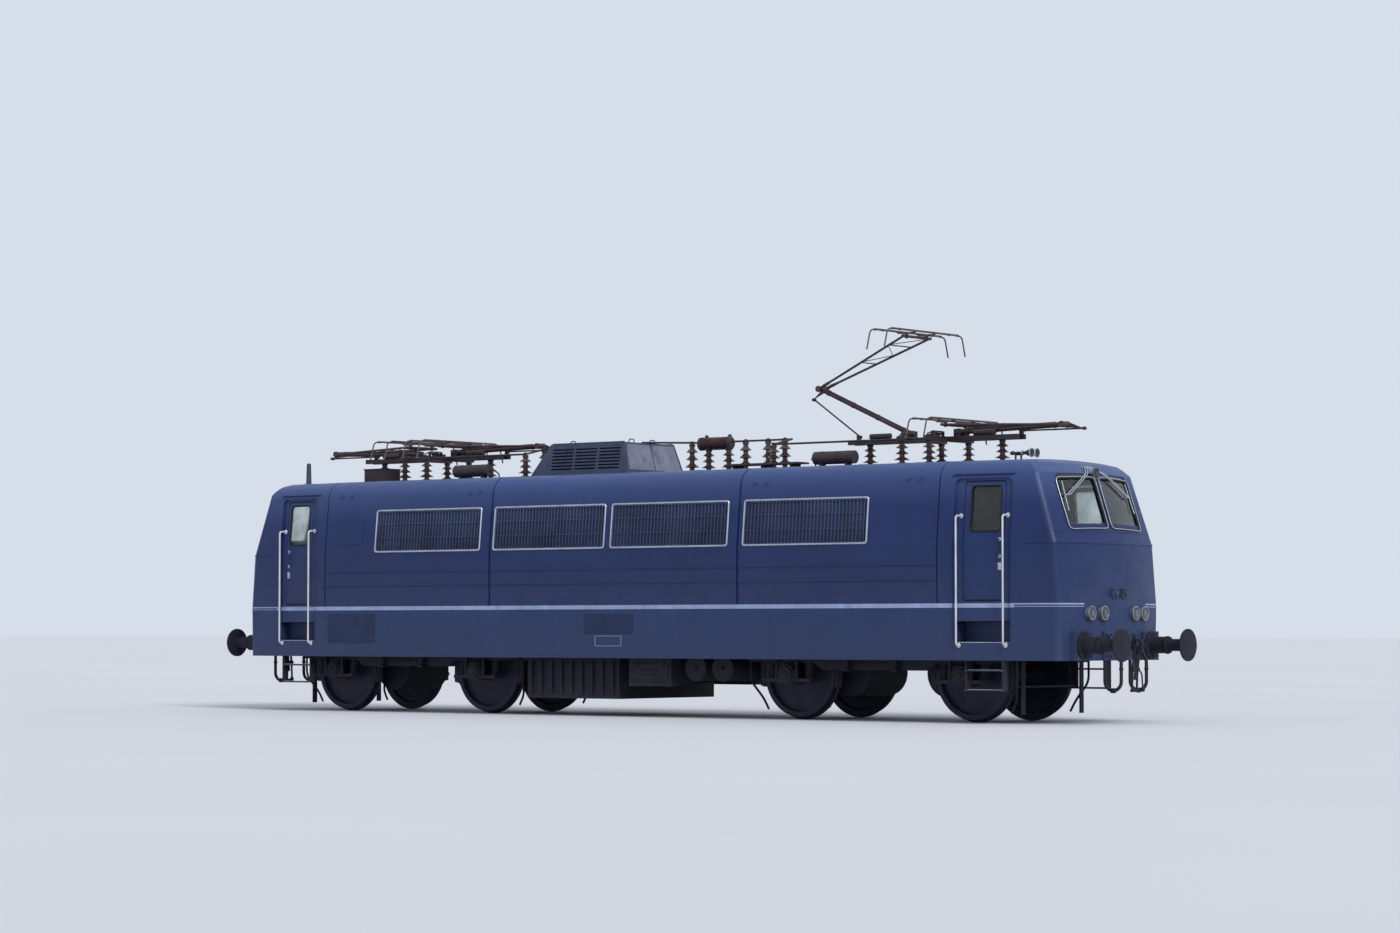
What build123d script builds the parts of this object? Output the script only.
from build123d import *
from math import atan2, cos, degrees, radians, sin, tan
import os

# Frame: +X runs along the locomotive to end 1, +Z is up, the floor is at the lowest point of the wheel
# flanges. Heights that start with RAIL are measured from the top of the rail.

# Driving dimensions in millimetres and degrees

# Wheels and axles
TREAD_RADIUS = 625
FLANGE_DEPTH = 30
RAIL = FLANGE_DEPTH
WHEEL_CENTRE = RAIL + TREAD_RADIUS
FLANGE_BACK = 680
FLANGE_WIDTH = 32
WHEEL_WIDTH = 138
RIM_DEPTH = 78
WEB_THICK = 30
HUB_RADIUS = 135
HUB_STAND = 22
AXLE_RADIUS = 90
JOURNAL_RADIUS = 75
JOURNAL_START = 870
JOURNAL_END = 1110
TURNING_FIT = 0.3

# Whole vehicle
LENGTH_OVER_BUFFERS = 16950
BUFFER_LENGTH = 620
BUFFER_HEIGHT = RAIL + 1050
BUFFER_SPACING = 1750
BODY_END = LENGTH_OVER_BUFFERS / 2 - BUFFER_LENGTH
BOGIE_PLACE = BODY_END - 3355
WHEELBASE = 3000

# Hull
HALF_WIDTH = 1490
BODY_BOTTOM = RAIL + 840
SPLIT_HEIGHT = RAIL + 1625
WAIST = RAIL + 2450
EAVES = RAIL + 3330
LEAN = 5.5
EAVES_RADIUS = 300
ROOF_CAMBER = 3
CAB_JOINT = BODY_END - 1985
MIDDLE_JOINT = 2383
CAB_TAPER = 6.2
NOSE_BULGE = 150
CORNER_RADIUS = 130
WALL = 60
BEYOND_SIDES = HALF_WIDTH + 500
ABOVE_ROOF = RAIL + 4000
GROOVE_WIDTH = 40
GROOVE_DEPTH = 25
SEAM_GAP = 0.6

# Nose rows: height, reach of the front corner from the middle of the locomotive
NOSE = (
    (BODY_BOTTOM - 40, BODY_END - 155),
    (RAIL + 1600, BODY_END - 135),
    (WAIST, BODY_END - 205),
    (RAIL + 3420, BODY_END - 525),
    (RAIL + 3560, BODY_END - 725),
    (RAIL + 3680, BODY_END - 1215),
)

# Doors
DOOR_NICHE = (BODY_END - 1755, BODY_END - 870)
DOOR_NICHE_TOP = RAIL + 3345
DOOR_LEAF = (BODY_END - 1610, BODY_END - 993)
DOOR_BOTTOM = RAIL + 1665
DOOR_TOP = RAIL + 3300
DOOR_RECESS = 40
DOOR_THICK = 36
DOOR_GAP = 10
DOOR_WINDOW = (BODY_END - 1510, BODY_END - 1055)
DOOR_WINDOW_BOTTOM = RAIL + 2610
DOOR_WINDOW_TOP = RAIL + 3235
WINDOW_CORNER = 60
HINGE_GAP = 10
HINGE_PIN = 10
HINGE_KNUCKLE = 18
HINGE_HIGH = 50
HINGE_LUG = 14
HINGE_HEIGHTS = (RAIL + 1850, RAIL + 2950)
DOOR_POST = (BODY_END - 1685, BODY_END - 1655)
HANDLE_PLACE = BODY_END - 1055
HANDLE_SPAN = (RAIL + 2270, RAIL + 2500)
HANDLE_RADIUS = 9
HANDLE_STAND = 40
GLASS = 8
GLASS_DEPTH = 14
GLASS_FIT = 0.3

# Step niche in the lower body under each door
NICHE_BOTTOM = RAIL + 1085
NICHE_TOP = RAIL + 1380
NICHE_DEPTH = 220

# Windscreens, two panes in each raked front
SCREEN_BOTTOM = RAIL + 2620
SCREEN_TOP = RAIL + 3315
SCREEN_INNER = 55
SCREEN_OUTER = HALF_WIDTH - 570

# Floor and underframe
FLOOR_THICK = 160
SILL = 90
END_BEAM = 300
BOLSTER_WIDTH = 700
BOLSTER_BOTTOM = RAIL + 1330
BULKHEAD = 40
BULKHEAD_GAP = 30

# Ribs and grilles of the machine room
RIB_HEIGHTS = (RAIL + 1960, RAIL + 2172)
RIB_PROUD = 12
RIB_WIDE = 26
GRILLE_BOTTOM = RAIL + 2475
GRILLE_TOP = RAIL + 3122
GRILLE_FRAME = 30
GRILLE_DEPTH = 40
FILTER_THICK = 8
SLAT_PITCH = 62
SLAT_THICK = 12
# Grille rows: section, start and end along X
GRILLES = (
    ("a", -CAB_JOINT + 1095, -MIDDLE_JOINT - 207),
    ("b", -MIDDLE_JOINT + 73, -125),
    ("b", 5, MIDDLE_JOINT - 193),
    ("c", MIDDLE_JOINT + 97, CAB_JOINT - 1205),
)

# Roof hood
HOOD = (-2280, -300)
HOOD_HALF_WIDTH = 700
HOOD_TOP = RAIL + 4100
HOOD_END_SLOPE = 150
HOOD_START_SLOPE = 370
HOOD_SIDE_SLOPE = 100
HOOD_BASE = RAIL + 3575
LOUVRE_ROWS = 7
LOUVRE_COLUMNS = 3

# Pantographs
LOWER_ARM = 1750
UPPER_ARM = 1830
PIVOT_HEIGHT = RAIL + 4080
FOLDED_ANGLE = 1.5
RAISED_ANGLE = 24
UPPER_RATIO = 0.9
ROD_FOOT_DROP = 10
ROD_FOOT_REACH = 985
ROD_SIDE = 130
BRACKET_REACH = 262
BRACKET_ANGLE = 11.2
BRACKET_THICK = 16
ROD_EYE = 24
ROD_EYE_WIDE = 26
ROD_PIN = 10
LOWER_TUBE = 38
UPPER_TUBE = 17
HEAD_TUBE = 21
ROD_TUBE = 12
SHAFT_RADIUS = 22
UPPER_SPREAD = 330
HEAD_LENGTH = 1670
HEAD_SPACING = 300
STRIP_WIDE = 36
STRIP_HIGH = 24
HORN_DROP = 300
HORN_REACH = 190
HORN_RADIUS = 11
HORN_BEND = 90
STRIP_RISE = 60
CRADLE_SIDE = 250
# Pantograph rows: name, pivot along X, direction in which the lower arm points, raised or folded
PANTOGRAPHS = (
    ("1_outer", CAB_JOINT - 620, 1, False),
    ("1_inner", CAB_JOINT - 1470, -1, True),
    ("2_inner", -CAB_JOINT + 1470, 1, False),
    ("2_outer", -CAB_JOINT + 620, -1, False),
)

# Roof insulators
INSULATOR_TOP = RAIL + 3945
INSULATOR_SPREAD = 500
SHED_RADII = (116, 98, 92)
CORE_RADIUS = 38
BASE_HIGH = 70

# Bogies
FRAME_HALF_LENGTH = WHEELBASE / 2 + 830
FRAME_DROP = 110
END_TUBE_RADIUS = 40
GUARD_IRON_BOTTOM = RAIL + 90
FRAME_SIDE = 1010
FRAME_WIDTH = 150
FRAME_BOTTOM = RAIL + 800
FRAME_HEIGHT = 170
TRANSOM_HALF = 230
PIVOT_RADIUS = 110
MOTOR_PLACE = WHEELBASE / 2 - 670
MOTOR_RADIUS = 340
MOTOR_HALF_LENGTH = 460
BOX_RADIUS = 140
COVER_RADIUS = 108
SPRING_RADIUS = 75
SPRING_PLACE = 330
SECONDARY_RADIUS = 140
SECONDARY_PLACE = 330
COIL_INSET = 24
CUP_HIGH = 16
BRAKE_GAP = 8
BLOCK_THICK = 55
BLOCK_HALF_HIGH = 190
HANGER_WIDE = 50

# Ends and running gear details
BUFFER_FLAT = 60
HOOK_FACE = BODY_END + 20
PAD_HIGH = 400
PAD_HALF_WIDTH = 205
HOOK_PLATE = 390
LINK_LOW = 330
SHACKLE_LOW = 620
HOSE_SIDE = 330
HOSE_RADIUS = 24
# Hose route rows: place ahead of the hook plate, height above the rail
HOSE_ROUTE = ((0, 1040), (120, 1040), (230, 850), (230, 430), (-30, 430), (-30, 840))
HOSE_BENDS = (150, 180, 129, 129)
HANDRAIL_PLACES = (BODY_END - 1660, BODY_END - 943)
HANDRAIL_STAND = 65
HANDRAIL_RADIUS = 14
HANDRAIL_BOTTOM = RAIL + 1050
HANDRAIL_TOP = RAIL + 2830
STEP_PLACE = (BODY_END - 1595, BODY_END - 975)
STEP_HEIGHTS = (RAIL + 440, RAIL + 710)
STEP_FRONT = HALF_WIDTH - 90
STEP_DEPTH = 120
LAMP_PLACES = (410, 690)
LAMP_HEIGHT = RAIL + 1490
LAMP_RADIUS = 95
TOP_LAMP_HEIGHT = RAIL + 3425
TOP_LAMP_RADIUS = 80

# Cab inside
DESK_HALF_WIDTH = HALF_WIDTH - 410
DESK_OUTLINE = (
    (BODY_END - 575, SPLIT_HEIGHT),
    (BODY_END - 575, RAIL + 2250),
    (BODY_END - 675, RAIL + 2330),
    (BODY_END - 645, RAIL + 2370),
    (BODY_END - 335, RAIL + 2450),
    (BODY_END - 295, SPLIT_HEIGHT),
)
SEAT_PLACE = (BODY_END - 895, 520)

# Under the floor
MIDDLE_SPACE = BOGIE_PLACE - FRAME_HALF_LENGTH
TRANSFORMER_PLACE = (-0.875 * MIDDLE_SPACE, -0.046 * MIDDLE_SPACE)
TRANSFORMER_HALF = HALF_WIDTH - 340
TRANSFORMER_BOTTOM = RAIL + 230
BATTERY_PLACE = (0.092 * MIDDLE_SPACE, 0.46 * MIDDLE_SPACE)
BATTERY_ACROSS = (-HALF_WIDTH + 210, -HALF_WIDTH + 730)
BATTERY_BOTTOM = RAIL + 430
RESERVOIR_PLACES = (0.622 * MIDDLE_SPACE, 0.853 * MIDDLE_SPACE)
RESERVOIR_HEIGHT = RAIL + 700
RESERVOIR_RADIUS = 0.0875 * MIDDLE_SPACE
RESERVOIR_HALF = HALF_WIDTH - 340
STRAP_SIDE = 700

# Roof gear
HORN_PLACE = BODY_END - 1405
HORN_SIDE = 420
TANK_PLACE = (3150, 3850)
TANK_SIDE = 620
ROOF_BOX = ((-CAB_JOINT - 60, -CAB_JOINT + 390), (-520, -160), RAIL + 3840)
WALKWAY = ((1700, 3050), (-920, -640))
BAR_RADIUS = 15
SIDE_BAR = 450
SIDE_BAR_HEIGHT = INSULATOR_TOP + BASE_HIGH / 2
# Line post rows: place along X, place across, height of the top
LINE_POSTS = (
    (380, 0, RAIL + 4060),
    (700, 0, RAIL + 3970),
    (1080, 0, RAIL + 3970),
    (1400, 0, RAIL + 4060),
    (1820, 0, RAIL + 4060),
    (2130, 0, RAIL + 4060),
    (2260, -SIDE_BAR, SIDE_BAR_HEIGHT - BAR_RADIUS),
    (-2560, -SIDE_BAR, SIDE_BAR_HEIGHT - BAR_RADIUS),
    (-2560, 0, RAIL + 4060),
)
# Bus bar rows: start and end of each tube
BUS_BARS = (
    ((HOOD[1] - 300, 0, RAIL + 4115), (560, 0, RAIL + 4075)),
    ((1130, 0, RAIL + 4075), (2260, 0, RAIL + 4075)),
    ((2260, 0, RAIL + 4075), (2260, -SIDE_BAR, SIDE_BAR_HEIGHT)),
    ((2260, -SIDE_BAR, SIDE_BAR_HEIGHT), (CAB_JOINT - 1330, -SIDE_BAR, SIDE_BAR_HEIGHT)),
    ((CAB_JOINT - 1230, -SIDE_BAR, SIDE_BAR_HEIGHT), (CAB_JOINT - 860, -SIDE_BAR, SIDE_BAR_HEIGHT)),
    ((HOOD[0] + 600, 0, RAIL + 4115), (-2560, 0, RAIL + 4075)),
    ((-2560, 0, RAIL + 4075), (-2560, -SIDE_BAR, SIDE_BAR_HEIGHT)),
    ((-2560, -SIDE_BAR, SIDE_BAR_HEIGHT), (-CAB_JOINT + 1330, -SIDE_BAR, SIDE_BAR_HEIGHT)),
    ((-CAB_JOINT + 1230, -SIDE_BAR, SIDE_BAR_HEIGHT), (-CAB_JOINT + 860, -SIDE_BAR, SIDE_BAR_HEIGHT)),
)


def block(x, y, z):
    """Box between the given pairs of limits."""
    size = (x[1] - x[0], y[1] - y[0], z[1] - z[0])
    middle = ((x[0] + x[1]) / 2, (y[0] + y[1]) / 2, (z[0] + z[1]) / 2)
    return Pos(*middle) * Box(*size)


def rod(start, end, radius):
    """Round bar from one point to another."""
    a, b = Vector(*start), Vector(*end)
    return Solid.make_cylinder(radius, (b - a).length, Plane(origin=a, z_dir=b - a))


def both_sides(shape):
    """The shape and its mirror image on the other side of the track."""
    return [shape, mirror(shape, Plane.XZ)]


def both_ends(shape):
    """The shape and its mirror image at the other end."""
    return [shape, mirror(shape, Plane.YZ)]


def four_corners(shape):
    """The shape at all four corners of the locomotive."""
    return [copy for side in both_sides(shape) for copy in both_ends(side)]


def group(shapes):
    """Solids that share a node without touching."""
    solids = [solid for shape in shapes for solid in shape.solids()]
    return Compound(children=solids)


def hull_outline(x, half_width, inset=0):
    """Cross-section of the body: upright wall, leaning upper wall, round eaves and cambered roof."""
    w = half_width - inset
    lean = radians(LEAN)
    camber = radians(ROOF_CAMBER)
    radius = EAVES_RADIUS - inset
    bend_y = half_width - (EAVES - WAIST) * tan(lean) - EAVES_RADIUS * cos(lean)
    bend_z = EAVES - EAVES_RADIUS * sin(lean)
    eave = (bend_y + radius * cos(lean), bend_z + radius * sin(lean))
    middle = radians((LEAN + 90 - ROOF_CAMBER) / 2)
    shoulder = (bend_y + radius * cos(middle), bend_z + radius * sin(middle))
    edge = (bend_y + radius * sin(camber), bend_z + radius * cos(camber))
    crown = edge[1] + edge[0] * tan(camber / 2)
    waist = (w, WAIST)
    low = (w, BODY_BOTTOM - 100)

    def right(point):
        return (x, -point[0], point[1])

    def left(point):
        return (x, point[0], point[1])

    edges = [
        Line(right(low), right(waist)),
        Line(right(waist), right(eave)),
        ThreePointArc(right(eave), right(shoulder), right(edge)),
        ThreePointArc(right(edge), (x, 0, crown), left(edge)),
        ThreePointArc(left(edge), left(shoulder), left(eave)),
        Line(left(eave), left(waist)),
        Line(left(waist), left(low)),
        Line(left(low), right(low)),
    ]
    return Face(Wire(edges))


def tapered_width(x):
    """Half width of the cab at a place along X."""
    return HALF_WIDTH - (x - CAB_JOINT) * tan(radians(CAB_TAPER))


def nose_outline(height, corner, inset=0):
    """Plan outline of the cab at one height, with a bulged front and round corners."""
    lean = lean_at(height)
    back = CAB_JOINT - 900
    corner = corner - inset
    side_back = tapered_width(back) - lean - inset + 1
    side_front = tapered_width(corner) - lean - inset + 1
    outline = Wire([
        Line((back, side_back), (back, -side_back)),
        Line((back, -side_back), (corner, -side_front)),
        ThreePointArc((corner, -side_front), (corner + NOSE_BULGE, 0), (corner, side_front)),
        Line((corner, side_front), (back, side_back)),
    ])
    face = Face(outline)
    corners = [v for v in face.vertices() if v.X > CAB_JOINT]
    face = fillet(corners, CORNER_RADIUS - inset / 2)
    return Pos(0, 0, height) * face


def nose_block(inset=0):
    """Everything behind the front of end 1, as a stack of ruled lofts."""
    rows = [(height, corner) for height, corner in NOSE]
    faces = [nose_outline(height, corner, inset) for height, corner in rows]
    levels = [loft([low, high], ruled=True) for low, high in zip(faces, faces[1:])]
    return levels[0] + levels[1:]


def cab_hull(inset=0):
    """Outer form of the cab at end 1, or the same form set in by a distance."""
    reach = max(corner for _, corner in NOSE) + NOSE_BULGE + 50
    start = hull_outline(CAB_JOINT, HALF_WIDTH, inset)
    end = hull_outline(reach, tapered_width(reach), inset)
    return loft([start, end], ruled=True) & nose_block(inset)


def middle_hull(start, end, inset=0):
    """Straight stretch of the body between two places along X."""
    outline = hull_outline(start, HALF_WIDTH, inset)
    return extrude(outline, amount=end - start, dir=(1, 0, 0))


def rounded_slab(x, z, y, radius):
    """Prism across the body with round corners in the side view."""
    sketch = RectangleRounded(x[1] - x[0], z[1] - z[0], radius)
    plane = Plane(origin=((x[0] + x[1]) / 2, y[0], (z[0] + z[1]) / 2), x_dir=(1, 0, 0), z_dir=(0, 1, 0))
    return extrude(plane * sketch, amount=y[1] - y[0])


def grown(limits, by):
    """Pair of limits moved apart by a distance at each end."""
    return (limits[0] - by, limits[1] + by)


NEAR_SIDE = (-HALF_WIDTH - 60, -HALF_WIDTH + 560)


def screen_prism(fit=0):
    """Prism through the raked front at end 1 for the windscreen pane on one side."""
    (low, low_x), (high, high_x) = NOSE[2], NOSE[3]
    rake = degrees(atan2(low_x - high_x, high - low))
    middle_z = (SCREEN_BOTTOM + SCREEN_TOP) / 2
    middle_x = low_x + (middle_z - low) * (high_x - low_x) / (high - low)
    width = SCREEN_OUTER - SCREEN_INNER - 2 * fit
    height = (SCREEN_TOP - SCREEN_BOTTOM) / cos(radians(rake)) - 2 * fit
    outward = Vector(cos(radians(rake)), 0, sin(radians(rake)))
    middle = Vector(middle_x - 200, -(SCREEN_INNER + SCREEN_OUTER) / 2, middle_z)
    plane = Plane(origin=middle, x_dir=(0, 1, 0), z_dir=outward)
    return extrude(plane * RectangleRounded(width, height, WINDOW_CORNER + 20), amount=600)


def make_cab_shell(hull, inner, niche_floor):
    """Cab at end 1 above the split, hollow, with door openings and windscreens."""
    reach = LENGTH_OVER_BUFFERS / 2
    above = block((CAB_JOINT, reach), (-BEYOND_SIDES, BEYOND_SIDES), (SPLIT_HEIGHT, ABOVE_ROOF))
    shell = (hull & above) - inner
    niche = rounded_slab(DOOR_NICHE, (NICHE_BOTTOM, DOOR_NICHE_TOP), NEAR_SIDE, 90)
    opening = rounded_slab(grown(DOOR_LEAF, DOOR_GAP), grown((DOOR_BOTTOM, DOOR_TOP), DOOR_GAP), NEAR_SIDE, 50)
    shell -= both_sides(niche - niche_floor)
    shell -= both_sides(opening)
    shell -= both_sides(screen_prism())
    return shell + both_sides(make_door_post(inner))


def lean_at(height):
    """Distance by which the side wall leans inwards at a height."""
    return max(min(height, EAVES) - WAIST, 0) * tan(radians(LEAN))


def hinge_axis():
    """Hinge axis of the near door at end 1, in X and Y, inside of the whole leaning leaf."""
    x = DOOR_LEAF[0] - HINGE_GAP
    inner_face = tapered_width(DOOR_LEAF[0]) - lean_at(DOOR_TOP) - DOOR_RECESS - DOOR_THICK
    return x, -inner_face + HINGE_KNUCKLE


def make_door_post(inner):
    """Post inside the near wall at end 1 with lugs and pins for the door."""
    x, y = hinge_axis()
    post = block(DOOR_POST, (-BEYOND_SIDES, y + HINGE_LUG), (SPLIT_HEIGHT, EAVES)) & inner
    for height in HINGE_HEIGHTS:
        half = HINGE_HIGH / 2 + TURNING_FIT
        for low in (height - half - HINGE_LUG, height + half):
            lug = block((DOOR_POST[1] - 1, x), (y - HINGE_LUG, y + HINGE_LUG), (low, low + HINGE_LUG))
            post += lug + rod((x, y, low), (x, y, low + HINGE_LUG), HINGE_LUG)
        post += rod((x, y, height - half - 1), (x, y, height + half + 1), HINGE_PIN)
    return post


def make_door(leaf_outer, leaf_inner):
    """Cab door leaf on the near side at end 1, with its window opening, hinge straps and handle."""
    blank = rounded_slab(DOOR_LEAF, (DOOR_BOTTOM, DOOR_TOP), NEAR_SIDE, 40)
    leaf = (blank & leaf_outer) - leaf_inner
    leaf -= rounded_slab(DOOR_WINDOW, (DOOR_WINDOW_BOTTOM, DOOR_WINDOW_TOP), NEAR_SIDE, WINDOW_CORNER)
    x, y = hinge_axis()
    for height in HINGE_HEIGHTS:
        half = HINGE_HIGH / 2
        wall = -(tapered_width(x) - lean_at(height) - DOOR_RECESS - DOOR_THICK)
        strap = block((x, x + 70), (wall - 4, y + HINGE_PIN), (height - half + 8, height + half - 8))
        strap += rod((x, y, height - half), (x, y, height + half), HINGE_KNUCKLE)
        strap -= rod((x, y, height - half - 5), (x, y, height + half + 5), HINGE_PIN + TURNING_FIT)
        leaf += strap - block((x - 100, DOOR_LEAF[0] - 0.01), (-BEYOND_SIDES, wall + 5), (height - half, height + half))
    for low in (HANDLE_SPAN[0], HANDLE_SPAN[1]):
        wall = -(tapered_width(HANDLE_PLACE) - lean_at(low) - DOOR_RECESS)
        grip = wall - HANDLE_STAND
        leaf += rod((HANDLE_PLACE, wall + 6, low), (HANDLE_PLACE, grip, low), HANDLE_RADIUS)
    leaf += rod((HANDLE_PLACE, grip, HANDLE_SPAN[0]), (HANDLE_PLACE, grip, HANDLE_SPAN[1]), HANDLE_RADIUS)
    return leaf


def make_door_glass(glass_outer, glass_inner):
    """Pane of the cab door on the near side at end 1."""
    x = grown(DOOR_WINDOW, -GLASS_FIT)
    z = grown((DOOR_WINDOW_BOTTOM, DOOR_WINDOW_TOP), -GLASS_FIT)
    return (rounded_slab(x, z, NEAR_SIDE, WINDOW_CORNER) & glass_outer) - glass_inner


def make_lower_body(hull, cab_inner, niche_floor):
    """Lower body: two side walls and two end frames with the openings of the step niches, open above and below."""
    reach = LENGTH_OVER_BUFFERS / 2
    slice_z = (BODY_BOTTOM, SPLIT_HEIGHT)
    whole = middle_hull(-CAB_JOINT, CAB_JOINT) & block((-CAB_JOINT, CAB_JOINT), (-BEYOND_SIDES, BEYOND_SIDES), slice_z)
    end = hull & block((CAB_JOINT, reach), (-BEYOND_SIDES, BEYOND_SIDES), slice_z)
    whole = whole + both_ends(end)
    beam_x = NOSE[0][1] - END_BEAM
    through = (BODY_BOTTOM - 50, SPLIT_HEIGHT + 50)
    hollow = middle_hull(-CAB_JOINT, CAB_JOINT, SILL)
    hollow &= block((-CAB_JOINT, CAB_JOINT), (-BEYOND_SIDES, BEYOND_SIDES), through)
    end_hollow = cab_inner & block((CAB_JOINT, beam_x), (-BEYOND_SIDES, BEYOND_SIDES), through)
    whole -= [hollow] + both_ends(end_hollow)
    recess = rounded_slab(DOOR_NICHE, (NICHE_BOTTOM, DOOR_NICHE_TOP), NEAR_SIDE, 90) - niche_floor
    whole -= four_corners(make_step_niche()) + four_corners(recess)
    side = BUFFER_SPACING / 2
    pad_z = (BODY_BOTTOM, BODY_BOTTOM + PAD_HIGH)
    pad = block((beam_x, BODY_END), (-side - PAD_HALF_WIDTH, -side + PAD_HALF_WIDTH), pad_z)
    whole += four_corners(pad)
    whole += both_ends(block((beam_x, HOOK_FACE), (-HOOK_PLATE, HOOK_PLATE), pad_z))
    seam = block((CAB_JOINT - SEAM_GAP / 2, CAB_JOINT + SEAM_GAP / 2), (-BEYOND_SIDES, BEYOND_SIDES), through)
    return group([whole - both_ends(seam)])


def make_step_niche():
    """Space of the top step in the near wall below the door of end 1."""
    niche_y = (-HALF_WIDTH - 60, -tapered_width(DOOR_NICHE[1]) + NICHE_DEPTH)
    return rounded_slab(DOOR_NICHE, (NICHE_BOTTOM, NICHE_TOP), niche_y, 40)


def make_underframe(cab_inner):
    """Floor between the walls, with bolsters, bogie pivots and the boxes behind the step niches."""
    under = SPLIT_HEIGHT - FLOOR_THICK
    floor_z = (under, SPLIT_HEIGHT)
    floor = middle_hull(-CAB_JOINT, CAB_JOINT, SILL)
    floor &= block((-CAB_JOINT, CAB_JOINT), (-BEYOND_SIDES, BEYOND_SIDES), floor_z)
    beam_x = NOSE[0][1] - END_BEAM
    cab_floor = cab_inner & block((CAB_JOINT, beam_x), (-BEYOND_SIDES, BEYOND_SIDES), floor_z)
    liner_y = (-HALF_WIDTH, -tapered_width(DOOR_NICHE[1]) + NICHE_DEPTH + 30)
    liner = cab_inner & block(grown(DOOR_NICHE, 30), liner_y, (NICHE_BOTTOM - 30, under))
    liner -= make_step_niche()
    floor = floor + both_ends(cab_floor) + four_corners(liner)
    bolster = block(
        (BOGIE_PLACE - BOLSTER_WIDTH / 2, BOGIE_PLACE + BOLSTER_WIDTH / 2),
        (-HALF_WIDTH + SILL, HALF_WIDTH - SILL),
        (BOLSTER_BOTTOM, under),
    )
    pin = rod((BOGIE_PLACE, 0, FRAME_BOTTOM + 20), (BOGIE_PLACE, 0, BOLSTER_BOTTOM + 1), PIVOT_RADIUS)
    return floor + both_ends(bolster) + both_ends(pin)


def make_hood_section(start, end, grilles):
    """Removable section of the machine room between two joints, hollow and open below."""
    above = block((start, end), (-BEYOND_SIDES, BEYOND_SIDES), (SPLIT_HEIGHT, ABOVE_ROOF))
    skin = (start + GROOVE_WIDTH / 2, end - GROOVE_WIDTH / 2)
    outer = middle_hull(*skin) + middle_hull(start, end, GROOVE_DEPTH)
    shell = (outer & above) - middle_hull(start - 10, end + 10, WALL)
    for height in RIB_HEIGHTS:
        rib = block(skin, (-HALF_WIDTH - RIB_PROUD, -HALF_WIDTH + 10), (height - RIB_WIDE / 2, height + RIB_WIDE / 2))
        shell += both_sides(rib)
    for x in grilles:
        opening = rounded_slab(x, (GRILLE_BOTTOM, GRILLE_TOP), NEAR_SIDE, 20)
        shell -= both_sides(opening)
    return shell


def make_grille(x):
    """Ventilation grille on the near side: frame, upright slats and filter panel, leaning with the wall."""
    z = (GRILLE_BOTTOM, GRILLE_TOP)
    band = middle_hull(x[0] - 1, x[1] + 1, 2) - middle_hull(x[0] - 2, x[1] + 2, GRILLE_DEPTH)
    frame = rounded_slab(x, z, NEAR_SIDE, 20) - rounded_slab(
        grown(x, -GRILLE_FRAME), grown(z, -GRILLE_FRAME), NEAR_SIDE, 10
    )
    count = int((x[1] - x[0]) // SLAT_PITCH)
    pitch = (x[1] - x[0]) / count
    slats = [
        block((x[0] + i * pitch - SLAT_THICK / 2, x[0] + i * pitch + SLAT_THICK / 2), NEAR_SIDE, z)
        for i in range(1, count)
    ]
    inner_skin = middle_hull(x[0] - 1, x[1] + 1, GRILLE_DEPTH - FILTER_THICK)
    filters = (rounded_slab(x, z, NEAR_SIDE, 20) & inner_skin) - middle_hull(x[0] - 2, x[1] + 2, GRILLE_DEPTH)
    return ((frame + slats) & band) + filters


def make_roof_hood():
    """Ventilation hood on the roof with sloping sides and louvred openings in its long sides."""
    floor = Pos((HOOD[0] + HOOD[1]) / 2, 0, HOOD_BASE) * Rectangle(HOOD[1] - HOOD[0], 2 * HOOD_HALF_WIDTH)
    top_x = (HOOD[0] + HOOD_START_SLOPE, HOOD[1] - HOOD_END_SLOPE)
    top_width = 2 * (HOOD_HALF_WIDTH - HOOD_SIDE_SLOPE)
    top = Pos((top_x[0] + top_x[1]) / 2, 0, HOOD_TOP) * Rectangle(top_x[1] - top_x[0], top_width)
    hood = loft([floor.face(), top.face()], ruled=True)
    hood -= middle_hull(HOOD[0] - 10, HOOD[1] + 10)
    panel_x = (top_x[0] + 30, top_x[1] - 30)
    column = (panel_x[1] - panel_x[0]) / LOUVRE_COLUMNS
    panel_z = (RAIL + 3700, HOOD_TOP - 50)
    row = (panel_z[1] - panel_z[0]) / LOUVRE_ROWS
    slots = []
    for i in range(LOUVRE_COLUMNS):
        for j in range(LOUVRE_ROWS):
            x = (panel_x[0] + i * column + 20, panel_x[0] + (i + 1) * column - 20)
            z = panel_z[0] + j * row
            slot = block(x, (-HOOD_HALF_WIDTH - 20, -HOOD_HALF_WIDTH + HOOD_SIDE_SLOPE + 60), (z, z + row * 0.45))
            slots.append(slot)
    hood -= [side for slot in slots for side in both_sides(slot)]
    return hood


def insulator(x, y, low, high):
    """Post insulator with broad sheds between a foot and a cap."""
    step = (high - low) / (len(SHED_RADII) + 1)
    foot = CORE_RADIUS + 12
    points = [(0, low), (foot, low), (foot, low + step * 0.5), (CORE_RADIUS, low + step * 0.5)]
    for i, radius in enumerate(SHED_RADII):
        z = low + step * (i + 0.8)
        points += [(CORE_RADIUS, z), (radius, z + step * 0.1), (CORE_RADIUS, z + step * 0.6)]
    points += [(CORE_RADIUS, high), (0, high)]
    profile = Plane.XZ * make_face(Polyline(*points, close=True))
    return Pos(x, y, 0) * revolve(profile, Axis.Z)


def seated(shape, hull):
    """The shape cut off where it meets the roof of the machine room or of either cab."""
    shape -= middle_hull(-CAB_JOINT, CAB_JOINT)
    return shape - both_ends(hull)


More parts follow.
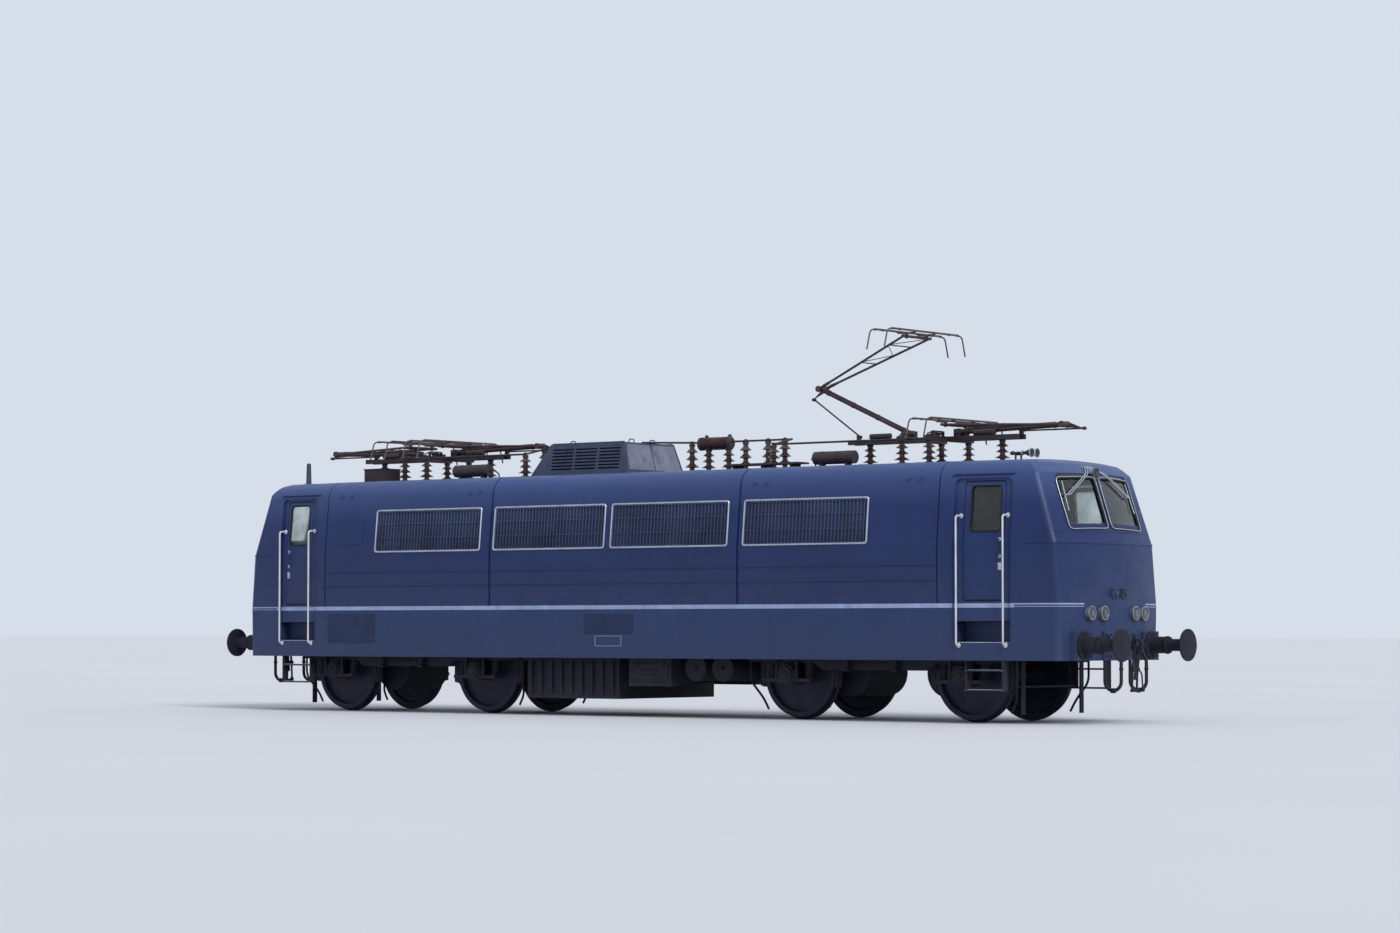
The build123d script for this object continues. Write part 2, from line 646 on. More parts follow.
def roof_height(y):
    """Height of the roof surface of the middle body at a distance from the centre line."""
    lean = radians(LEAN)
    camber = radians(ROOF_CAMBER)
    edge_y = HALF_WIDTH - (EAVES - WAIST) * tan(lean) - EAVES_RADIUS * cos(lean) + EAVES_RADIUS * sin(camber)
    edge_z = EAVES - EAVES_RADIUS * sin(lean) + EAVES_RADIUS * cos(camber)
    roof_radius = edge_y / sin(camber)
    crown = edge_z + roof_radius * (1 - cos(camber))
    return crown - roof_radius + (roof_radius**2 - y**2) ** 0.5


def base_points(pivot, out):
    """Places of the three insulators under one pantograph base."""
    return (
        (pivot - out * 190, INSULATOR_SPREAD),
        (pivot - out * 190, -INSULATOR_SPREAD),
        (pivot + out * 720, 0),
    )


def make_base(pivot, out):
    """Base frame of one pantograph on three points, with bearing cheeks, rod foot and lift cylinder."""
    low, high = INSULATOR_TOP, INSULATOR_TOP + BASE_HIGH
    cross_x = sorted((pivot - out * 240, pivot - out * 140))
    frame = block(cross_x, (-INSULATOR_SPREAD - 70, INSULATOR_SPREAD + 70), (low, high))
    beam_x = sorted((pivot - out * 190, pivot + out * (ROD_FOOT_REACH + 60)))
    for side in (-1, 1):
        frame += block(beam_x, sorted((side * 60, side * 110)), (low, high))
    frame += block(sorted((pivot + out * 670, pivot + out * 770)), (-110, 110), (low, high))
    for side in (-1, 1):
        cheek = block((pivot - 45, pivot + 45), sorted((side * 60, side * 100)), (high, PIVOT_HEIGHT + 40))
        cheek -= rod((pivot, side * 50, PIVOT_HEIGHT), (pivot, side * 120, PIVOT_HEIGHT), SHAFT_RADIUS + TURNING_FIT)
        frame += cheek
    foot_x = pivot + out * ROD_FOOT_REACH
    foot_z = PIVOT_HEIGHT - ROD_FOOT_DROP
    frame += block((foot_x - 25, foot_x + 25), (60, 110), (high - 1, foot_z + 25))
    frame += rod((foot_x, 100, foot_z), (foot_x, ROD_SIDE + ROD_EYE_WIDE / 2 + 4, foot_z), ROD_PIN)
    frame += rod((pivot + out * 300, -85, high + 40), (pivot + out * 650, -85, high + 40), 41)
    return frame


def arm_angles(raised):
    """Angles of the lower arm and the upper arm over the horizontal."""
    lower = RAISED_ANGLE if raised else FOLDED_ANGLE
    upper = FOLDED_ANGLE + UPPER_RATIO * (lower - FOLDED_ANGLE)
    return lower, upper


def knuckle_place(pivot, out, raised):
    """Knuckle of a pantograph, in X and Z."""
    lower, _ = arm_angles(raised)
    return (pivot + out * LOWER_ARM * cos(radians(lower)), PIVOT_HEIGHT + LOWER_ARM * sin(radians(lower)))


def head_place(pivot, out, raised):
    """Head pivot of a pantograph, in X and Z."""
    _, upper = arm_angles(raised)
    x, z = knuckle_place(pivot, out, raised)
    return (x - out * UPPER_ARM * cos(radians(upper)), z + UPPER_ARM * sin(radians(upper)))


def make_lower_arm(pivot, out, raised):
    """Lower arm: one thick tube between the base shaft and the knuckle fork."""
    knuckle = knuckle_place(pivot, out, raised)
    shaft = rod((pivot, -100, PIVOT_HEIGHT), (pivot, 100, PIVOT_HEIGHT), SHAFT_RADIUS)
    hub = rod((pivot, -55, PIVOT_HEIGHT), (pivot, 55, PIVOT_HEIGHT), 50)
    tube = rod((pivot, 0, PIVOT_HEIGHT), (knuckle[0], 0, knuckle[1]), LOWER_TUBE)
    boss = rod((knuckle[0], -35, knuckle[1]), (knuckle[0], 35, knuckle[1]), 42)
    bore = rod((knuckle[0], -60, knuckle[1]), (knuckle[0], 60, knuckle[1]), SHAFT_RADIUS + TURNING_FIT)
    return shaft + hub + (tube + boss - bore)


def bracket_tip(pivot, out, raised):
    """Eye of the knuckle bracket that the control rod works on, in X and Z."""
    kx, kz = knuckle_place(pivot, out, raised)
    _, upper = arm_angles(raised)
    angle = radians(upper + BRACKET_ANGLE)
    return kx + out * BRACKET_REACH * cos(angle), kz - BRACKET_REACH * sin(angle)


def make_upper_arm(pivot, out, raised):
    """Upper arm: two tubes that spread from the knuckle to the head, with the bracket for the rod."""
    kx, kz = knuckle_place(pivot, out, raised)
    hx, hz = head_place(pivot, out, raised)
    arm = rod((kx, -90, kz), (kx, 90, kz), SHAFT_RADIUS)
    for side in (-1, 1):
        arm += rod((kx, side * 40, kz), (kx, side * 92, kz), 46)
        arm += rod((kx, side * 65, kz), (hx, side * UPPER_SPREAD, hz), UPPER_TUBE)
    arm += rod((hx, -UPPER_SPREAD - 30, hz), (hx, UPPER_SPREAD + 30, hz), HEAD_TUBE)
    tip = bracket_tip(pivot, out, raised)
    _, upper = arm_angles(raised)
    back = (kx - out * 170 * cos(radians(upper)), kz + 170 * sin(radians(upper)))
    outline = Polyline((kx, kz + 40), tip, (kx, kz - 40), back, close=True)
    plate = extrude(Plane.XZ * make_face(Plane.XZ.to_local_coords(Plane.XZ * outline)), amount=-BRACKET_THICK)
    arm += Pos(0, 88, 0) * plate
    arm += rod((tip[0], 88, tip[1]), (tip[0], 88 + BRACKET_THICK, tip[1]), ROD_EYE)
    return arm


def make_head(pivot, out, raised):
    """Collector head: two contact strips on cradles around the cross tube, with drooping horns."""
    hx, hz = head_place(pivot, out, raised)
    half = HEAD_LENGTH / 2
    strip_z = hz + STRIP_RISE
    head = None
    for side in (-1, 1):
        y = side * CRADLE_SIDE
        hanger = rod((hx, y - 12, hz), (hx, y + 12, hz), HEAD_TUBE + 12)
        hanger += block((hx - 20, hx + 20), (y - 12, y + 12), (hz, strip_z - 10))
        hanger += block((hx - HEAD_SPACING / 2, hx + HEAD_SPACING / 2), (y - 12, y + 12), (strip_z - 22, strip_z))
        hanger -= rod((hx, y - 20, hz), (hx, y + 20, hz), HEAD_TUBE + TURNING_FIT)
        head = hanger if head is None else head + hanger
    for side in (-1, 1):
        x = hx + side * HEAD_SPACING / 2
        middle_z = strip_z + STRIP_HIGH / 2
        head += block((x - STRIP_WIDE / 2, x + STRIP_WIDE / 2), (-half, half), (strip_z - 1, strip_z + STRIP_HIGH))
        points = (
            (x, half - 20, middle_z),
            (x, half + HORN_REACH * 0.55, middle_z - 20),
            (x, half + HORN_REACH, middle_z - HORN_DROP),
        )
        path = FilletPolyline(*points, radius=HORN_BEND)
        start = Plane(origin=points[0], z_dir=path % 0)
        horn = sweep(start * Circle(HORN_RADIUS), path=path)
        head += both_sides(horn)
    return head


def make_control_rod(pivot, out, raised):
    """Rod from its foot pin on the base to beside the bracket at the knuckle."""
    tip = bracket_tip(pivot, out, raised)
    foot = (pivot + out * ROD_FOOT_REACH, PIVOT_HEIGHT - ROD_FOOT_DROP)
    half = ROD_EYE_WIDE / 2
    bar = rod((foot[0], ROD_SIDE, foot[1]), (tip[0], ROD_SIDE, tip[1]), ROD_TUBE)
    bar += rod((tip[0], ROD_SIDE - half, tip[1]), (tip[0], ROD_SIDE + half, tip[1]), ROD_EYE)
    bar += rod((foot[0], ROD_SIDE - half, foot[1]), (foot[0], ROD_SIDE + half, foot[1]), ROD_EYE)
    return bar - rod((foot[0], ROD_SIDE - 30, foot[1]), (foot[0], ROD_SIDE + 30, foot[1]), ROD_PIN + TURNING_FIT)


def make_wheelset():
    """Axle with two pressed-on wheels at the origin, axis along Y."""
    rim = TREAD_RADIUS - RIM_DEPTH
    web = FLANGE_BACK + WHEEL_WIDTH * 0.3
    outer = FLANGE_BACK + WHEEL_WIDTH
    dish = WHEEL_WIDTH * 0.25
    wheel = [
        (AXLE_RADIUS, FLANGE_BACK - HUB_STAND),
        (HUB_RADIUS, FLANGE_BACK - HUB_STAND),
        (HUB_RADIUS + 25, web + dish),
        (rim - 20, web),
        (rim, FLANGE_BACK),
        (TREAD_RADIUS + FLANGE_DEPTH - 8, FLANGE_BACK),
        (TREAD_RADIUS + FLANGE_DEPTH, FLANGE_BACK + 10),
        (TREAD_RADIUS + FLANGE_DEPTH, FLANGE_BACK + 18),
        (TREAD_RADIUS + 3, FLANGE_BACK + FLANGE_WIDTH),
        (TREAD_RADIUS - 3, outer - 8),
        (TREAD_RADIUS - 11, outer),
        (rim, outer),
        (rim - 20, web + WEB_THICK),
        (HUB_RADIUS + 25, web + dish + WEB_THICK),
        (HUB_RADIUS, outer + HUB_STAND),
        (AXLE_RADIUS, outer + HUB_STAND),
    ]
    axle = [
        (0, -JOURNAL_END),
        (JOURNAL_RADIUS, -JOURNAL_END),
        (JOURNAL_RADIUS, -outer - HUB_STAND),
        (AXLE_RADIUS, -outer - HUB_STAND),
        (AXLE_RADIUS, outer + HUB_STAND),
        (JOURNAL_RADIUS, outer + HUB_STAND),
        (JOURNAL_RADIUS, JOURNAL_END),
        (0, JOURNAL_END),
    ]
    axle_solid, wheel_solid = [revolve(make_face(Polyline(*rows, close=True)), Axis.Y) for rows in (axle, wheel)]
    return group([axle_solid] + both_sides(wheel_solid))


def spring(x, y, low, high, radius):
    """Upright coil spring with its end cups, drawn as a core that the coil winds round."""
    cup, core = radius + 12, radius - COIL_INSET
    rows = [(0, low), (cup, low), (cup, low + CUP_HIGH), (core, low + CUP_HIGH),
            (core, high - CUP_HIGH), (cup, high - CUP_HIGH), (cup, high), (0, high)]
    profile = Plane.XZ * make_face(Polyline(*rows, close=True))
    return Pos(x, y, 0) * revolve(profile, Axis.Z)


def make_axle_boxes():
    """Four axle boxes of one bogie with their spring pairs up to the frame, about the bogie centre."""
    shapes = []
    for x in (-WHEELBASE / 2, WHEELBASE / 2):
        y = (JOURNAL_START, JOURNAL_END + 40)
        box = rod((x, y[0], WHEEL_CENTRE), (x, y[1], WHEEL_CENTRE), BOX_RADIUS)
        box += rod((x, y[1] - 1, WHEEL_CENTRE), (x, y[1] + 24, WHEEL_CENTRE), COVER_RADIUS)
        low = WHEEL_CENTRE - 60
        arms = block((x - SPRING_PLACE - 90, x + SPRING_PLACE + 90), (y[0] + 30, y[1] - 10), (low - 50, low))
        stand = block((x - 105, x + 105), (y[0] + 20, y[1] - 20), (low, FRAME_BOTTOM - 40))
        box = box + arms + stand
        box -= rod((x, y[0] - 5, WHEEL_CENTRE), (x, JOURNAL_END + 2, WHEEL_CENTRE), JOURNAL_RADIUS + TURNING_FIT)
        shapes += both_sides(box)
        for side in (-1, 1):
            shapes += both_sides(spring(x + side * SPRING_PLACE, FRAME_SIDE, low, FRAME_BOTTOM, SPRING_RADIUS))
    return group(shapes)


def make_bogie_frame():
    """Welded frame of one bogie about its centre with its body springs, and guard irons at the outer end."""
    top = FRAME_BOTTOM + FRAME_HEIGHT
    end = FRAME_HALF_LENGTH
    knee = WHEELBASE / 2 - SPRING_PLACE - SPRING_RADIUS - 35
    half = [(knee - 160, FRAME_BOTTOM - FRAME_DROP), (knee, FRAME_BOTTOM), (end - 150, FRAME_BOTTOM),
            (end, FRAME_BOTTOM + FRAME_HEIGHT * 0.45), (end, top)]
    outline = half + [(-x, z) for x, z in reversed(half)]
    near = Pos(0, -FRAME_SIDE, 0) * (Plane.XZ * make_face(Polyline(*outline, close=True)))
    side = extrude(near, amount=FRAME_WIDTH / 2, both=True)
    frame = side + mirror(side, Plane.XZ)
    frame += block((-TRANSOM_HALF, TRANSOM_HALF), (-FRAME_SIDE, FRAME_SIDE), (FRAME_BOTTOM - 60, top - 20))
    for x in (-end + END_TUBE_RADIUS, end - END_TUBE_RADIUS):
        frame += rod((x, -FRAME_SIDE, FRAME_BOTTOM + 85), (x, FRAME_SIDE, FRAME_BOTTOM + 85), END_TUBE_RADIUS)
    frame -= rod((0, 0, FRAME_BOTTOM - 100), (0, 0, top + 100), PIVOT_RADIUS + TURNING_FIT)
    iron_x = (end - END_TUBE_RADIUS - 10, end - END_TUBE_RADIUS + 10)
    rail_side = FLANGE_BACK + WHEEL_WIDTH / 2
    iron = block(iron_x, (-rail_side - 45, -rail_side + 45), (GUARD_IRON_BOTTOM, FRAME_BOTTOM + 85))
    frame += both_sides(iron)
    shapes = [frame]
    for x in (-SECONDARY_PLACE, SECONDARY_PLACE):
        shapes += both_sides(spring(x, FRAME_SIDE, top, BOLSTER_BOTTOM - TURNING_FIT, SECONDARY_RADIUS))
    return group(shapes)


def make_brake_gear():
    """Brake blocks on both treads of each wheel of one bogie, with hangers and end rods, about its centre."""
    y = (FLANGE_BACK + FLANGE_WIDTH + BRAKE_GAP, FLANGE_BACK + WHEEL_WIDTH - BRAKE_GAP)
    middle = (y[0] + y[1]) / 2
    face = TREAD_RADIUS + BRAKE_GAP
    back = face + BLOCK_THICK
    shapes = []
    for axle in (-1, 1):
        for side in (-1, 1):
            centre = axle * WHEELBASE / 2
            ring = rod((centre, y[0], WHEEL_CENTRE), (centre, y[1], WHEEL_CENTRE), back)
            ring -= rod((centre, y[0] - 5, WHEEL_CENTRE), (centre, y[1] + 5, WHEEL_CENTRE), face)
            high = (WHEEL_CENTRE - BLOCK_HALF_HIGH, WHEEL_CENTRE + BLOCK_HALF_HIGH)
            shoe = ring & block(sorted((centre + side * face * 0.9, centre + side * back)), y, high)
            hanger_x = sorted((centre + side * (back - 15), centre + side * (back + 30)))
            hanger_y = (middle - HANGER_WIDE / 2, middle + HANGER_WIDE / 2)
            shoe += block(hanger_x, hanger_y, (WHEEL_CENTRE - 180, FRAME_BOTTOM + 110))
            shoe += block(hanger_x, (middle, FRAME_SIDE - FRAME_WIDTH / 2), (FRAME_BOTTOM + 50, FRAME_BOTTOM + 110))
            pair = both_sides(shoe)
            if side == axle:
                x = centre + side * (back + 8)
                z = WHEEL_CENTRE - 150
                pair = [pair[0] + rod((x, -middle, z), (x, middle, z), 18) + pair[1]]
            shapes += pair
    return group(shapes)


def make_traction_motors():
    """Two traction motors of one bogie between the axles, about the bogie centre."""
    shapes = []
    for side in (-1, 1):
        x = side * MOTOR_PLACE
        case = rod((x, -MOTOR_HALF_LENGTH, WHEEL_CENTRE + 20), (x, MOTOR_HALF_LENGTH, WHEEL_CENTRE + 20), MOTOR_RADIUS)
        nose = block(sorted((side * TRANSOM_HALF, x)), (-220, 220), (WHEEL_CENTRE + 100, WHEEL_CENTRE + 220))
        shapes.append(case + nose)
    return group(shapes)


def make_buffers():
    """Side buffers: base plate, sleeve, plunger and round head at each corner."""
    points = [
        (0, 0), (190, 0), (190, 25), (120, 30), (115, 300), (85, 300), (85, BUFFER_LENGTH - 60),
        (225, BUFFER_LENGTH - 38), (225, BUFFER_LENGTH - 18), (BUFFER_FLAT, BUFFER_LENGTH), (0, BUFFER_LENGTH),
    ]
    profile = make_face(Polyline(*points, close=True))
    buffer = revolve(profile, Axis.Y)
    buffer = Rot(0, 0, -90) * buffer
    return group(four_corners(Pos(BODY_END, BUFFER_SPACING / 2, BUFFER_HEIGHT) * buffer))


def nose_reach(height):
    """Reach of the front corner at a height, between the rows of the nose table."""
    for (low, low_x), (high, high_x) in zip(NOSE, NOSE[1:]):
        if height <= high:
            return low_x + (height - low) * (high_x - low_x) / (high - low)
    return NOSE[-1][1]


def nose_surface(y, height):
    """Place along X of the front surface of end 1 at a distance from the centre line."""
    corner = nose_reach(height)
    return corner + NOSE_BULGE * (1 - (y / tapered_width(corner)) ** 2)


def make_couplings():
    """Draw hook with a screw coupling hanging from it, at both ends."""
    x = HOOK_FACE
    z = BUFFER_HEIGHT
    shank = block((x, x + 230), (-30, 30), (z - 35, z + 35))
    hook = rod((x + 290, -32, z), (x + 290, 32, z), 95)
    throat = rod((x + 290, -40, z + 18), (x + 290, 40, z + 18), 42)
    mouth = block((x + 275, x + 310), (-40, 40), (z + 20, z + 120))
    hook = shank + hook - throat - mouth
    links = rod((x + 290, -75, z - 18), (x + 290, 75, z - 18), 22)
    for side in (-1, 1):
        links += rod((x + 290, side * 62, z - 18), (x + 250, side * 62, z - LINK_LOW), 18)
        links += rod((x + 250, side * 62, z - LINK_LOW), (x + 235, side * 62, z - SHACKLE_LOW), 16)
    links += rod((x + 250, -84, z - LINK_LOW), (x + 250, 84, z - LINK_LOW), 30)
    links += rod((x + 235, -78, z - SHACKLE_LOW), (x + 235, 78, z - SHACKLE_LOW), 22)
    return group(both_ends(hook + links))


def make_brake_hoses():
    """Brake hose loops beside the draw hook, held at both ends by the end beam."""
    points = [(HOOK_FACE + x, -HOSE_SIDE, RAIL + z) for x, z in HOSE_ROUTE]
    path = FilletPolyline(*points, radius=HOSE_BENDS)
    start = Plane(origin=points[0], z_dir=path % 0)
    hose = sweep(start * Circle(HOSE_RADIUS), path=path)
    return group(four_corners(hose))


def make_handrails(hull, niche_floor):
    """Bent handrails in front of each cab door, ending on the wall below and on the niche above."""
    rails = []
    for x in HANDRAIL_PLACES:
        wall = tapered_width(x)
        top_wall = wall - DOOR_RECESS - lean_at(HANDRAIL_TOP)
        y = -wall - HANDRAIL_STAND
        points = (
            (x, -wall + 20, HANDRAIL_BOTTOM),
            (x, y, HANDRAIL_BOTTOM),
            (x, y, HANDRAIL_TOP),
            (x, -top_wall + 20, HANDRAIL_TOP),
        )
        path = FilletPolyline(*points, radius=45)
        section = Plane(origin=points[0], z_dir=(0, -1, 0)) * Circle(HANDRAIL_RADIUS)
        rail = sweep(section, path=path)
        low = rail & block((0, LENGTH_OVER_BUFFERS), (-BEYOND_SIDES, 0), (0, WAIST - 500))
        rails += four_corners((low - hull) + (rail - low - niche_floor))
    return group(rails)


def make_steps():
    """Hanging steps under each cab door."""
    y = (-STEP_FRONT, -STEP_FRONT + STEP_DEPTH)
    low = min(STEP_HEIGHTS)
    step = block((STEP_PLACE[0], STEP_PLACE[0] + 15), y, (low - 20, BODY_BOTTOM))
    step += block((STEP_PLACE[1] - 15, STEP_PLACE[1]), y, (low - 20, BODY_BOTTOM))
    for height in STEP_HEIGHTS:
        step += block(STEP_PLACE, y, (height - 20, height))
    return group(four_corners(step))


def make_lamps(hull):
    """Round lamp housings: a pair low on each side of both fronts and one above the windscreens."""
    shapes = []
    for y in LAMP_PLACES:
        x = nose_surface(y, LAMP_HEIGHT)
        lamp = rod((x - 60, -y, LAMP_HEIGHT), (x + 45, -y, LAMP_HEIGHT), LAMP_RADIUS)
        lamp -= rod((x + 38, -y, LAMP_HEIGHT), (x + 50, -y, LAMP_HEIGHT), LAMP_RADIUS - 14)
        shapes += four_corners(lamp - hull)
    x = nose_reach(TOP_LAMP_HEIGHT) + NOSE_BULGE
    top = rod((x - 150, 0, TOP_LAMP_HEIGHT), (x + 40, 0, TOP_LAMP_HEIGHT), TOP_LAMP_RADIUS)
    top -= rod((x + 33, 0, TOP_LAMP_HEIGHT), (x + 50, 0, TOP_LAMP_HEIGHT), TOP_LAMP_RADIUS - 14)
    return group(shapes + both_ends(top - hull))


def make_driver_desk():
    """Desk across the cab at end 1 under the windscreens."""
    outline = Plane.XZ * make_face(Polyline(*DESK_OUTLINE, close=True))
    return extrude(outline, amount=DESK_HALF_WIDTH, both=True)


def make_seats():
    """Two seats in each cab on round pedestals."""
    x, y = SEAT_PLACE
    floor = SPLIT_HEIGHT
    seat = rod((x, -y, floor), (x, -y, floor + 400), 50)
    seat += rod((x, -y, floor), (x, -y, floor + 20), 160)
    seat += block((x - 210, x + 210), (-y - 220, -y + 220), (floor + 400, floor + 480))
    seat += block((x - 250, x - 190), (-y - 210, -y + 210), (floor + 480, floor + 1000))
    return group(four_corners(seat))


def make_cab_fittings(inner):
    """Desk of each cab, and the wall between it and the machine room."""
    slice_x = (CAB_JOINT + BULKHEAD_GAP, CAB_JOINT + BULKHEAD_GAP + BULKHEAD)
    wall = inner & block(slice_x, (-BEYOND_SIDES, BEYOND_SIDES), (SPLIT_HEIGHT, ABOVE_ROOF))
    return group(both_ends(wall) + both_ends(make_driver_desk()))


def make_transformer():
    """Transformer tank under the floor with cooling ribs along both sides."""
    under = SPLIT_HEIGHT - FLOOR_THICK
    tank = block(TRANSFORMER_PLACE, (-TRANSFORMER_HALF, TRANSFORMER_HALF), (TRANSFORMER_BOTTOM, under))
    count = 9
    pitch = (TRANSFORMER_PLACE[1] - TRANSFORMER_PLACE[0]) / count
    for i in range(count):
        x = TRANSFORMER_PLACE[0] + (i + 0.5) * pitch
        rib = block((x - 15, x + 15), (-TRANSFORMER_HALF - 40, -TRANSFORMER_HALF + 5),
                    (TRANSFORMER_BOTTOM + 60, TRANSFORMER_BOTTOM + 560))
        tank += both_sides(rib)
    return tank


def make_underfloor_equipment():
    """Battery boxes hung beside the transformer, and air reservoirs across the underframe on straps."""
    under = SPLIT_HEIGHT - FLOOR_THICK
    box = block(BATTERY_PLACE, BATTERY_ACROSS, (BATTERY_BOTTOM, under))
    lid_y = (BATTERY_ACROSS[0] - 12, BATTERY_ACROSS[0])
    lid = block(grown(BATTERY_PLACE, -60), lid_y, (BATTERY_BOTTOM + 60, BATTERY_BOTTOM + 330))
    shapes = both_sides(box + lid)
    for x in RESERVOIR_PLACES:
        z = RESERVOIR_HEIGHT
        tank = rod((x, -RESERVOIR_HALF, z), (x, RESERVOIR_HALF, z), RESERVOIR_RADIUS)
        strap = block((x - 30, x + 30), (-STRAP_SIDE - 25, -STRAP_SIDE + 25), (z, under)) - tank
        shapes += [tank] + both_sides(strap)
    return group(shapes)


def make_air_horns():
    """Pair of trumpet horns on the cab roof of end 1."""
    shapes = []
    for y in (-HORN_SIDE - 70, -HORN_SIDE + 70):
        foot = roof_height(HORN_SIDE)
        profile = make_face(Polyline((0, 0), (16, 0), (16, 200), (62, 330), (0, 330), close=True))
        trumpet = Pos(HORN_PLACE, y, foot + 95) * (Rot(0, 0, -90) * revolve(profile, Axis.Y))
        stem = rod((HORN_PLACE + 60, y, foot - 8), (HORN_PLACE + 60, y, foot + 95), 14)
        shapes.append(trumpet + stem)
    return shapes


def make_roof_reservoirs():
    """Small air tanks along the roof beside the inner pantographs."""
    foot = roof_height(TANK_SIDE)
    tank = rod((TANK_PLACE[0], -TANK_SIDE, foot + 120), (TANK_PLACE[1], -TANK_SIDE, foot + 120), 95)
    for x in (TANK_PLACE[0] + 120, TANK_PLACE[1] - 120):
        tank += block((x - 20, x + 20), (-TANK_SIDE - 60, -TANK_SIDE + 60), (foot - 4, foot + 60))
    return both_ends(tank)


def make_roof_insulators(hull):
    """Three post insulators under each pantograph base, and those of the circuit breaker and roof line."""
    places = [(x, y, INSULATOR_TOP) for _, pivot, out, _ in PANTOGRAPHS for x, y in base_points(pivot, out)]
    places += LINE_POSTS
    return group([seated(insulator(x, y, roof_height(y) - 20, top), hull) for x, y, top in places])


def make_roof_box():
    """Equipment box at the start of the cab roof of end 2."""
    x, y, top = ROOF_BOX
    lid = block(grown(x, 12), grown(y, 12), (top - 14, top))
    return block(x, y, (EAVES, top)) + lid


def make_walkway():
    """Foot plank on feet along the roof near end 1."""
    x, y = WALKWAY
    top = roof_height(y[0]) + 70
    plank = block(x, y, (top - 22, top))
    for place in (x[0] + 150, (x[0] + x[1]) / 2, x[1] - 150):
        plank += block((place - 20, place + 20), grown(y, -30), (EAVES, top - 10))
    return plank


def make_roof_air_gear(hull):
    """Air tanks, horns, equipment box and foot plank on the roof."""
    shapes = make_air_horns() + make_roof_reservoirs() + [make_roof_box(), make_walkway()]
    return group([seated(shape, hull) for shape in shapes])


def make_circuit_breaker():
    """Circuit breaker: round chamber on two posts with end caps."""
    (x0, _, top), (x1, _, _) = LINE_POSTS[1], LINE_POSTS[2]
    z = top + 85
    body = rod((x0 - 110, 0, z), (x1 + 60, 0, z), 75)
    body += rod((x0 - 150, 0, z), (x0 - 105, 0, z), 100)
    body += block((x0 - 50, x0 + 50), (-50, 50), (top, z))
    body += block((x1 - 50, x1 + 50), (-50, 50), (top, z))
    return body


def make_roof_line(hood):
    """Circuit breaker and the conductor tubes between the post insulators along the roof."""
    line = make_circuit_breaker()
    for bar in make_bus_bars():
        line += bar - hood
    line -= [rod((x, y, top - BASE_HIGH), (x, y, top), CORE_RADIUS) for x, y, top in LINE_POSTS]
    return group([line])


def make_bus_bars():
    """Conductor tubes, each run joined to the next one that it meets."""
    bars = []
    for start, end in BUS_BARS:
        bar = rod(start, end, BAR_RADIUS)
        if bars and last_end == start:
            bars[-1] = bars[-1] + bar + Pos(*start) * Sphere(BAR_RADIUS)
        else:
            bars.append(bar)
        last_end = end
    return bars


def make_pantograph_pieces():
    """Base frames of all pantographs, and the moving pieces of each one by name."""
    pieces = {"pantograph_bases": group([make_base(pivot, out) for _, pivot, out, _ in PANTOGRAPHS])}
    for name, pivot, out, raised in PANTOGRAPHS:
        pieces["lower_arm_" + name] = make_lower_arm(pivot, out, raised)
        pieces["upper_arm_" + name] = make_upper_arm(pivot, out, raised)
        pieces["head_" + name] = make_head(pivot, out, raised)
        pieces["control_rod_" + name] = make_control_rod(pivot, out, raised)
    return pieces


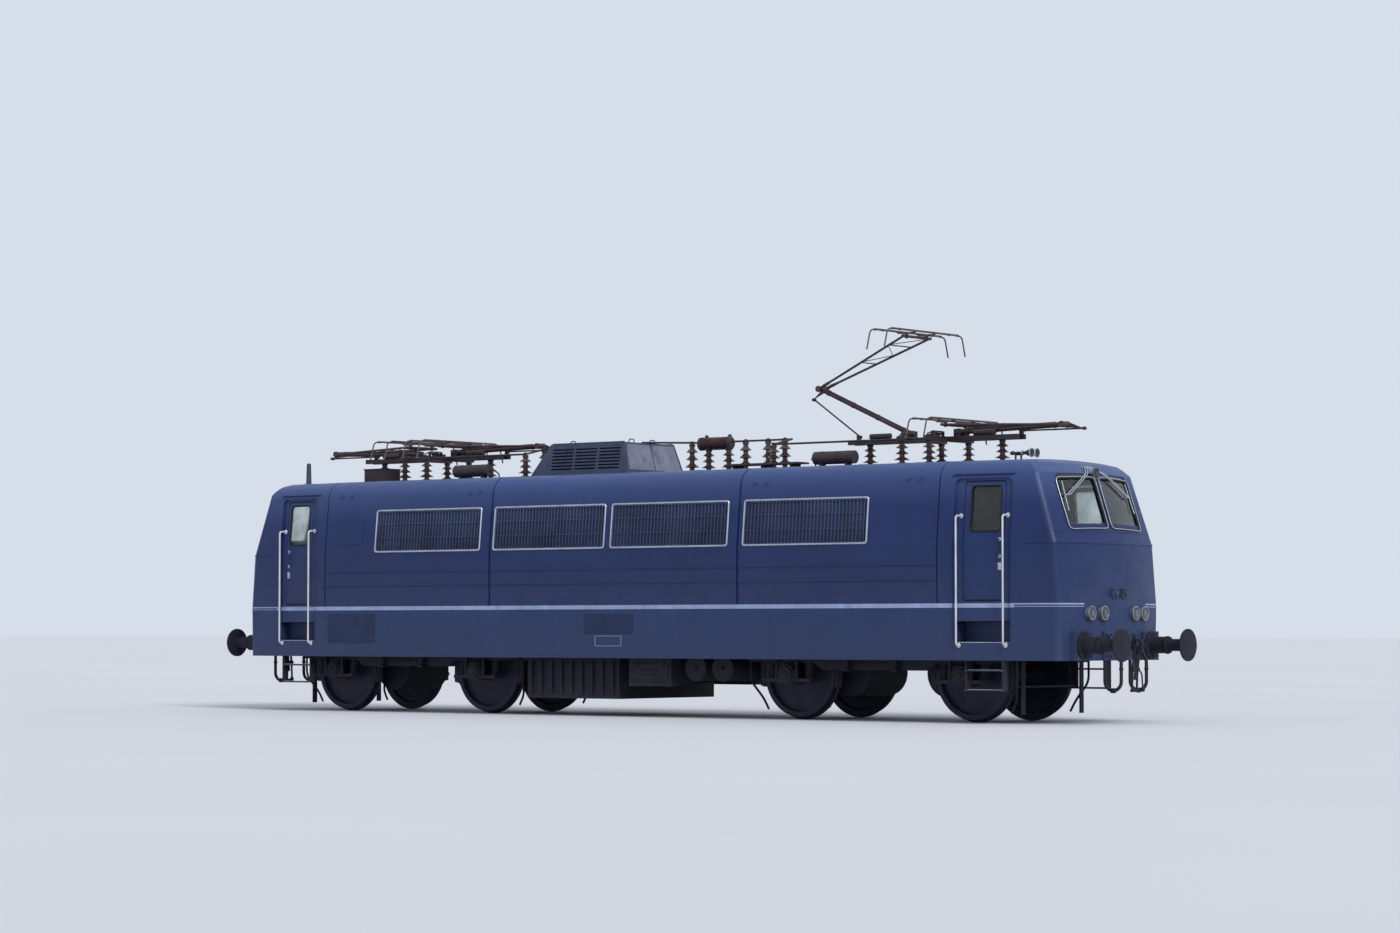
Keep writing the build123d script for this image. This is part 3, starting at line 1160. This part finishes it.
def make_cab_pieces():
    """Shells, screens, doors, door glass and bulkheads of both cabs, and the lower body that they meet."""
    hull = cab_hull()
    inner = cab_hull(WALL)
    niche_floor = cab_hull(DOOR_RECESS)
    leaf_inner = cab_hull(DOOR_RECESS + DOOR_THICK)
    screen_outer, screen_inner = cab_hull(GLASS_DEPTH), cab_hull(GLASS_DEPTH + GLASS)
    pane_outer = cab_hull(DOOR_RECESS + GLASS_DEPTH)
    pane_inner = cab_hull(DOOR_RECESS + GLASS_DEPTH + GLASS)
    shell = make_cab_shell(hull, inner, niche_floor)
    screens = group([(side & screen_outer) - screen_inner for side in both_sides(screen_prism(GLASS_FIT))])
    door = make_door(niche_floor, leaf_inner)
    pane = make_door_glass(pane_outer, pane_inner)
    pieces = {
        "lower_body": make_lower_body(hull, inner, niche_floor),
        "underframe": make_underframe(inner),
        "cab_shell_1": shell,
        "cab_shell_2": mirror(shell, Plane.YZ),
        "windscreens": group(both_ends(screens)),
        "cab_fittings": make_cab_fittings(inner),
        "lamps": make_lamps(hull),
        "roof_insulators": make_roof_insulators(hull),
        "roof_air_gear": make_roof_air_gear(hull),
        "door_handrails": make_handrails(hull, niche_floor),
    }
    for end, end_copy in (("1", False), ("2", True)):
        for side, side_copy in (("right", False), ("left", True)):
            for name, shape in (("cab_door_", door), ("door_glass_", pane)):
                if end_copy:
                    shape = mirror(shape, Plane.YZ)
                if side_copy:
                    shape = mirror(shape, Plane.XZ)
                pieces[name + end + "_" + side] = shape
    return pieces


def make_machine_room():
    """The three removable sections of the machine room and the grilles of both sides."""
    sections = {"a": (-CAB_JOINT, -MIDDLE_JOINT), "b": (-MIDDLE_JOINT, MIDDLE_JOINT), "c": (MIDDLE_JOINT, CAB_JOINT)}
    pieces = {}
    for name, (start, end) in sections.items():
        openings = [(x0, x1) for section, x0, x1 in GRILLES if section == name]
        pieces["machine_hood_" + name] = make_hood_section(start, end, openings)
    grilles = [make_grille((x0, x1)) for _, x0, x1 in GRILLES]
    pieces["side_grilles"] = group([side for grille in grilles for side in both_sides(grille)])
    return pieces


def make_bogies():
    """Both bogies with their wheelsets."""
    parts = {"bogie_frame_": make_bogie_frame(), "axle_boxes_": make_axle_boxes(),
             "brake_gear_": make_brake_gear(), "traction_motors_": make_traction_motors()}
    pieces = {}
    for name, shape in parts.items():
        pieces[name + "1"] = Pos(BOGIE_PLACE, 0, 0) * shape
        pieces[name + "2"] = mirror(pieces[name + "1"], Plane.YZ)
    for end, place in (("1", BOGIE_PLACE), ("2", -BOGIE_PLACE)):
        for axle, offset in (("outer", WHEELBASE / 2), ("inner", -WHEELBASE / 2)):
            x = place + (offset if place > 0 else -offset)
            pieces["wheelset_" + end + "_" + axle] = Pos(x, 0, WHEEL_CENTRE) * make_wheelset()
    return pieces


def make_all():
    """Every piece by its name."""
    pieces = make_cab_pieces()
    pieces.update(make_machine_room())
    pieces.update(make_bogies())
    pieces.update(make_pantograph_pieces())
    hood = make_roof_hood()
    pieces.update({
        "roof_hood": hood,
        "roof_line": make_roof_line(hood),
        "buffers": make_buffers(),
        "couplings": make_couplings(),
        "brake_hoses": make_brake_hoses(),
        "entrance_steps": make_steps(),
        "seats": make_seats(),
        "transformer": make_transformer(),
        "underfloor_equipment": make_underfloor_equipment(),
    })
    return pieces


os.makedirs("parts", exist_ok=True)
for piece_name, piece in make_all().items():
    export_step(piece, "parts/" + piece_name + ".step")
